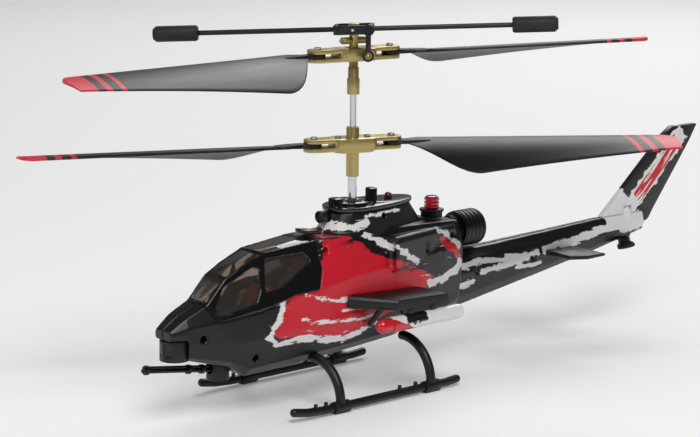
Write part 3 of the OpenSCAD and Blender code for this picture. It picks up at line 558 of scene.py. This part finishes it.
def edges_at(r):
    """Leading and trailing edge of the blade at distance r from the mast axis, in mm."""
    front = FRONT
    if r < FRONT_FULL:
        front = ROOT_HALF + (FRONT - ROOT_HALF) * (r - ROOT_START) / (FRONT_FULL - ROOT_START)
    into_corner = r - TIP + CORNER_LENGTH
    if into_corner > 0:
        front -= CORNER_DEPTH * (1 - math.sqrt(max(0, 1 - (into_corner / CORNER_LENGTH) ** 2)))
    if r < FLARE_END:
        t = max(0, (r - FLARE_START) / (FLARE_END - FLARE_START))
        back = ROOT_HALF + (BACK - ROOT_HALF) * math.sin(t * math.pi / 2) ** 1.2
    else:
        back = BACK + (TIP_BACK - BACK) * (r - FLARE_END) / (TIP - FLARE_END)
    return front, -back


def blade_section(r, hand):
    """Points round the cambered section at distance r, pitched by the twist there, in mm."""
    steps = 11
    half_thickness, thinnest, thinning = 0.62, 0.12, 0.62
    nose_part = 0.34
    camber_top, camber_middle, camber_radius = 0.5, -7.8, 55
    front, back = edges_at(r)
    pitch = math.radians(ROOT_PITCH - TWIST * (r - ROOT_START) / (TIP - ROOT_START))
    upper = [(k, 1) for k in range(steps + 1)]
    lower = [(k, -1) for k in range(steps - 1, 0, -1)]
    points = []
    for k, side in upper + lower:
        u = 0.5 - 0.5 * math.cos(math.pi * k / steps)
        y = front + (back - front) * u
        nose = math.sqrt(1 - (1.5 * u - 0.5) ** 2) if u < nose_part else 1
        thick = max(half_thickness * nose * (1 - thinning * u), thinnest) if 0 < k < steps else 0
        z = camber_top - (y - camber_middle) ** 2 / (2 * camber_radius) + side * thick
        points.append((
            r,
            hand * (y * math.cos(pitch) - z * math.sin(pitch)),
            y * math.sin(pitch) + z * math.cos(pitch),
        ))
    return points


def blade_mesh(hand):
    """Cambered, tapered and twisted blade with a drilled root, span along +X."""
    work = bmesh.new()
    stations = [ROOT_START, 21, 23, 25, 28, 31, 34, 37, 40, 42.5, 44.5, 47, 51]
    stations += [51 + 7 * k for k in range(1, 10)]
    stations += [TIP - d for d in (3.6, 2.2, 1.1, 0.4, 0.05)]
    rings = []
    for r in stations:
        rings.append([work.verts.new(Vector(point) * MM) for point in blade_section(r, hand)])
    join_rings(work, rings)
    work.faces.new(rings[0])
    work.faces.new(rings[-1][::-1])
    # Root: a drilled disc, and a tapering arm that runs into the blade
    add_ring(work, PIVOT, 2.85, 0.96, 0.75)
    add_arm(work, [(PIVOT + 1.6, 2.1, 0.75), (19, 2.3, 0.75), (24, 2.0, 0.7), (29, 1.0, 0.55)])
    bmesh.ops.recalc_face_normals(work, faces=work.faces)
    mesh_data = bpy.data.meshes.new("blade")
    work.to_mesh(mesh_data)
    work.free()
    return mesh_data


def join_rings(work, rings):
    for a, b in zip(rings, rings[1:]):
        for k in range(len(a)):
            j = (k + 1) % len(a)
            work.faces.new((a[k], a[j], b[j], b[k]))


def add_ring(work, centre_mm, outer_mm, inner_mm, half_mm, steps=40):
    """A flat ring with chamfered outer edges, centred on the X axis."""
    chamfer = 0.2
    profile = (
        (outer_mm - chamfer, half_mm), (outer_mm, half_mm - chamfer), (outer_mm, chamfer - half_mm),
        (outer_mm - chamfer, -half_mm), (inner_mm, -half_mm), (inner_mm, half_mm),
    )
    loops = []
    for radius, z in profile:
        turns = [2 * math.pi * k / steps for k in range(steps)]
        loops.append([
            work.verts.new(Vector((centre_mm + radius * math.cos(a), radius * math.sin(a), z)) * MM)
            for a in turns])
    join_rings(work, loops + loops[:1])


def add_arm(work, sections):
    """A bar along X through sections of (x, half width, half height), with cut corners."""
    rings = []
    for x, half_w, half_h in sections:
        cut = 0.3 * half_h
        corners = [
            (-half_w, cut - half_h), (cut - half_w, -half_h), (half_w - cut, -half_h), (half_w, cut - half_h),
            (half_w, half_h - cut), (half_w - cut, half_h), (cut - half_w, half_h), (-half_w, half_h - cut),
        ]
        rings.append([work.verts.new(Vector((x, y, z)) * MM) for y, z in corners])
    join_rings(work, rings)
    work.faces.new(rings[0][::-1])
    work.faces.new(rings[-1])


def blades():
    """One blade at each fold joint, folded and raised as its CAD node is at rest."""
    pivot = Matrix.Translation((PIVOT * MM, 0, 0))
    for joint in frame["joints"]:
        if joint["name"] not in BLADE_JOINTS:
            continue
        replaced, fold, rise = BLADE_JOINTS[joint["name"]]
        hand, material = (1, "blade_left") if joint["name"].startswith("lower") else (-1, "blade_right")
        obj = piece_from(
            blade_mesh(hand), replaced + "_piece", joint["child"], [replaced], material, 45)
        place = Vector(joint["pos_m"])
        head = Matrix.Translation((0, 0, place.z)) @ Matrix.Rotation(math.atan2(place.y, place.x), 4, "Z")
        folded = Matrix.Rotation(math.radians(fold), 4, "Z") @ Matrix.Rotation(math.radians(-rise), 4, "Y")
        obj.matrix_world = head @ pivot @ folded @ pivot.inverted()


# ---------------------------------------------------------------- camera, floor and light

# The camera's roll is in degrees
CAMERA_PLACE = (0.5406, 0.6023, 0.2205)
CAMERA_AIM = (-0.6546, -0.7305, -0.1948)
CAMERA_ROLL = 0.6374
CAMERA_LENS_MM = 118.29
FLOOR_SIZE = 6
# Each lamp's name, place, size and power
LAMPS = [
    ("key", (0.5, 0.9, 1.3), 0.9, 16),
    ("fill", (1.3, -0.3, 0.9), 1.1, 5),
    ("back", (-1.1, -0.7, 1.0), 0.9, 9),
]
LAMP_TARGET = (0, 0, 0.05)
BRIGHTEST_WAY = (-0.5, -0.55, 0.67)


def look(obj, direction, roll=0.0):
    turned = Vector(direction).to_track_quat("-Z", "Y").to_matrix() @ Matrix.Rotation(roll, 3, "Z")
    obj.rotation_euler = turned.to_euler()


def paper_floor():
    work = bmesh.new()
    bmesh.ops.create_grid(work, x_segments=8, y_segments=8, size=FLOOR_SIZE)
    mesh_data = bpy.data.meshes.new("floor")
    work.to_mesh(mesh_data)
    work.free()
    floor = put(bpy.data.objects.new("floor", mesh_data))
    ground = min(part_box(n)[0][2] for n in ("front_legs", "rear_legs"))
    floor.location.z = ground - 0.0001
    material, tree, shader, place = start("floor_paper")
    cloud = noise_node(tree, place, 400.0)
    pale = mix_color(tree, cloud, (0.86, 0.86, 0.86), (0.89, 0.89, 0.89))
    tree.links.new(pale, shader.inputs["Base Color"])
    shader.inputs["Roughness"].default_value = 0.75
    shader.inputs["Emission Color"].default_value = (1, 1, 1, 1)
    shader.inputs["Emission Strength"].default_value = 0.16
    floor.data.materials.append(material)


def studio_light():
    """A sky that is bright overhead and behind the toy and dim on the camera's side, and three lamps."""
    world = bpy.data.worlds.new("studio")
    bpy.context.scene.world = world
    world.use_nodes = True
    tree = world.node_tree
    way = node(tree, "ShaderNodeTexCoord").outputs["Generated"]
    glow = node(tree, "ShaderNodeMapRange", {
        "Value": along_direction(tree, way, BRIGHTEST_WAY),
        "From Min": -0.6, "From Max": 0.9, "To Min": 0.32, "To Max": 3.3,
    })
    background = tree.nodes["Background"]
    tree.links.new(glow.outputs[0], background.inputs["Strength"])
    for name, place, size, power in LAMPS:
        data = bpy.data.lights.new(name, "AREA")
        data.size = size
        data.energy = power
        lamp = put(bpy.data.objects.new(name, data))
        lamp.location = place
        look(lamp, Vector(LAMP_TARGET) - lamp.location)


def camera():
    data = bpy.data.cameras.new("camera")
    data.lens = CAMERA_LENS_MM
    data.sensor_width = 36
    data.clip_start = 0.01
    obj = put(bpy.data.objects.new("camera", data))
    obj.location = CAMERA_PLACE
    look(obj, CAMERA_AIM, math.radians(CAMERA_ROLL))
    bpy.context.scene.camera = obj
    bpy.context.scene.view_settings.view_transform = "Standard"


fuselage()
glazing()
carried_over()
blades()
paper_floor()
studio_light()
camera()
